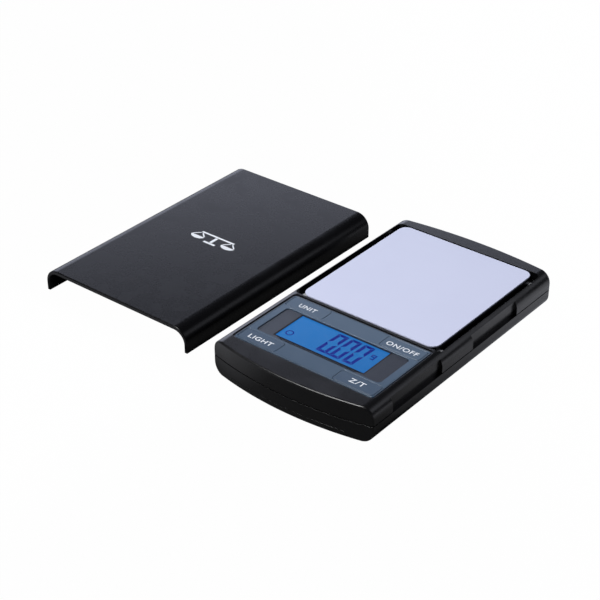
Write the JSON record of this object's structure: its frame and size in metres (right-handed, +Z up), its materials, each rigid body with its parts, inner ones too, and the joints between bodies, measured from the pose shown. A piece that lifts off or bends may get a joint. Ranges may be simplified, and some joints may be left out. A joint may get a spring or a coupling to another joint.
{
  "type": "digital gram scale",
  "caption": "Pocket digital gram scale: black case with bowed ends, pale weighing platform, backlit display with corner keys, and a loose slip-on cover lying beside it.",
  "frame": {"origin": "centre of the scale's own footprint, on the table; the underside of the case is 0.4 mm above it, on its feet", "axes": "+X across the scale to its right side, +Y along it from the display end to the platform end, +Z up; the loose cover lies on the -X side"},
  "size_m": [0.1729, 0.131, 0.0161],
  "materials": {
    "case": "satin black moulding",
    "door": "satin black moulding",
    "cover": "satin black moulding",
    "front_plate": "smooth, printed from behind",
    "keys": "smooth, printed from behind",
    "lens": "clear",
    "lcd_frame": "fine matt",
    "lcd": "lit from behind",
    "backlight": "clear light guide",
    "led": "clear lens",
    "zebra": "striped elastomer",
    "board": "green solder mask",
    "chip": "poured resin",
    "board_parts": "ceramic",
    "switches": "moulded",
    "switch_buttons": "moulded",
    "screws": "zinc plated",
    "platform": "fine satin",
    "pads": "foam tape",
    "carrier": "moulded, ribbed",
    "load_cell": "machined",
    "gauges": "foil on film",
    "wires": "insulated",
    "stops": "moulded",
    "battery": "printed sleeve over a can",
    "contacts": "nickel plated",
    "feet": "soft rubber"
  },
  "bodies": {
    "case": {"top_shell": "case", "bottom_shell": "case", "front_plate": "front_plate", "display_lens": "lens", "lcd_frame": "lcd_frame", "lcd_glass": "lcd", "lcd_backlight": "backlight", "backlight_led": "led", "zebra_strip": "zebra", "main_board": "board", "controller_chip": "chip", "board_parts": "board_parts", "switch_bodies": "switches", "board_screws": "screws", "load_cell": "load_cell", "strain_gauges": "gauges", "cell_wires": "wires", "cell_screws": "screws", "overload_stops": "stops", "battery_1": "battery", "battery_2": "battery", "battery_springs": "contacts", "contact_plates": "contacts", "case_screws": "screws", "feet": "feet"},
    "weighing_platform": {"platform": "platform", "adhesive_pads": "pads", "platform_carrier": "carrier", "carrier_screws": "screws"},
    "door": {"battery_door": "door"},
    "loose_cover": {"cover": "cover"},
    "unit_key": {"key_unit": "keys", "switch_button_unit": "switch_buttons"},
    "power_key": {"key_power": "keys", "switch_button_power": "switch_buttons"},
    "light_key": {"key_light": "keys", "switch_button_light": "switch_buttons"},
    "zero_key": {"key_zero": "keys", "switch_button_zero": "switch_buttons"}
  },
  "joints": [
    {"name": "platform_press", "type": "slide", "parent": "case", "child": "weighing_platform", "axis": [0, 0, -1], "range_m": [0, 0.00035], "stiffness_N_per_m": 9000, "springref_m": -0.00008, "deforming": ["load_cell"]},
    {"name": "key_unit_press", "type": "slide", "parent": "case", "child": "unit_key", "axis": [0, 0, -1], "range_m": [0, 0.0003], "stiffness_N_per_m": 3000, "springref_m": -0.0001},
    {"name": "key_power_press", "type": "slide", "parent": "case", "child": "power_key", "axis": [0, 0, -1], "range_m": [0, 0.0003], "stiffness_N_per_m": 3000, "springref_m": -0.0001},
    {"name": "key_light_press", "type": "slide", "parent": "case", "child": "light_key", "axis": [0, 0, -1], "range_m": [0, 0.0003], "stiffness_N_per_m": 3000, "springref_m": -0.0001},
    {"name": "key_zero_press", "type": "slide", "parent": "case", "child": "zero_key", "axis": [0, 0, -1], "range_m": [0, 0.0003], "stiffness_N_per_m": 3000, "springref_m": -0.0001},
    {"name": "battery_door_slide", "type": "slide", "parent": "case", "child": "door", "axis": [0, -1, 0], "range_m": [0, 0.04]},
    {"name": "cover_lift", "type": "slide", "parent": "case", "child": "loose_cover", "axis": [0, 0, 1], "range_m": [0, 0.06]}
  ]
}
